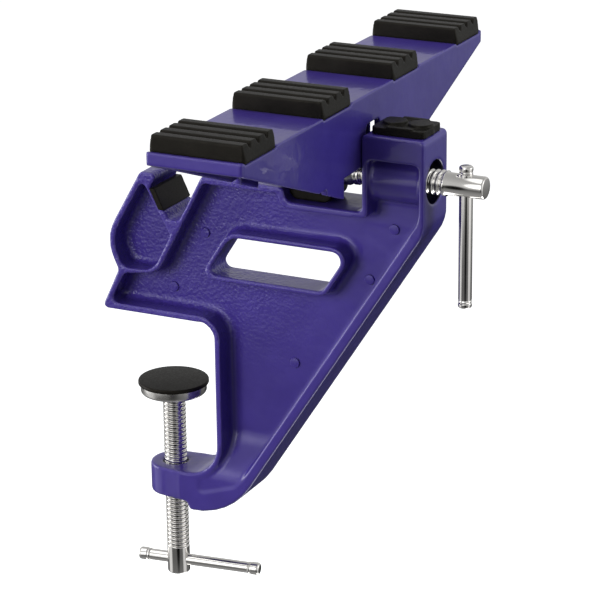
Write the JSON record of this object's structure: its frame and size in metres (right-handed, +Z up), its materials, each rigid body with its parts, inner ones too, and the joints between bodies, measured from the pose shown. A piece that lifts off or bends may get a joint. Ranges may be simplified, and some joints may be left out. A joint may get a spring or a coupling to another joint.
{
  "type": "ski vise",
  "caption": "Webbed casting that clamps to a table edge and carries a long rest with rubber pads for a ski, locked by a spindle.",
  "frame": {"origin": "on the flat seat that lies on the table, where the clamp screw's axis meets it", "axes": "+Z up, +X from the clamp screw to the tower with the spindle, Y along the rest"},
  "size_m": [0.2586, 0.345, 0.3565],
  "materials": {
    "paint": "gloss",
    "rubber": "satin",
    "chrome": "polished",
    "steel": "satin"
  },
  "bodies": {
    "frame": {"frame_casting": "paint", "foot_thread_nut": "steel", "tower_thread_nut": "steel", "vee_rubber": "rubber", "tower_pad": "rubber"},
    "rest": {"support_beam": "paint", "rest_pad_1": "rubber", "rest_pad_2": "rubber", "rest_pad_3": "rubber", "rest_pad_4": "rubber", "lug_boot": "rubber"},
    "clamp_shoe": {"clamp_shoe": "chrome", "clamp_shoe_rubber": "rubber"},
    "clamp_screw": {"clamp_screw": "chrome", "clamp_shoe_clip": "steel"},
    "clamp_bar": {"clamp_bar": "chrome", "clamp_bar_cap_left": "chrome", "clamp_bar_cap_right": "chrome"},
    "press_shoe": {"press_shoe": "steel", "press_shoe_rubber": "rubber"},
    "press_spindle": {"press_spindle": "chrome", "press_shoe_clip": "steel"},
    "spindle_bar": {"spindle_bar": "chrome", "spindle_bar_cap_top": "chrome", "spindle_bar_cap_bottom": "chrome"}
  },
  "joints": [
    {"name": "rest_lift", "type": "slide", "parent": "frame", "child": "rest", "axis": [0, 0, 1], "range_m": [0, 0.08]},
    {"name": "clamp_travel", "type": "slide", "parent": "frame", "child": "clamp_shoe", "axis": [0, 0, 1], "range_m": [-0.046, 0.034]},
    {"name": "clamp_turn", "type": "hinge", "parent": "clamp_shoe", "child": "clamp_screw", "pos_m": [0, 0, -0.1], "axis": [0, 0, 1], "range_deg": [-5500, 4060]},
    {"name": "clamp_bar_slide", "type": "slide", "parent": "clamp_screw", "child": "clamp_bar", "axis": [0.9925, 0.1219, 0], "range_m": [-0.0415, 0.0115]},
    {"name": "press_travel", "type": "slide", "parent": "frame", "child": "press_shoe", "axis": [1, 0, 0], "range_m": [0, 0.0075]},
    {"name": "spindle_turn", "type": "hinge", "parent": "press_shoe", "child": "press_spindle", "pos_m": [0.15, 0, 0.1077], "axis": [1, 0, 0], "range_deg": [0, 771]},
    {"name": "spindle_bar_slide", "type": "slide", "parent": "press_spindle", "child": "spindle_bar", "axis": [0, 0, 1], "range_m": [0, 0.062]}
  ],
  "couplings": [
    {"joint": "clamp_travel", "follows": "clamp_turn", "m_per_rad": 0.00047746},
    {"joint": "press_travel", "follows": "spindle_turn", "m_per_rad": 0.00055704}
  ]
}
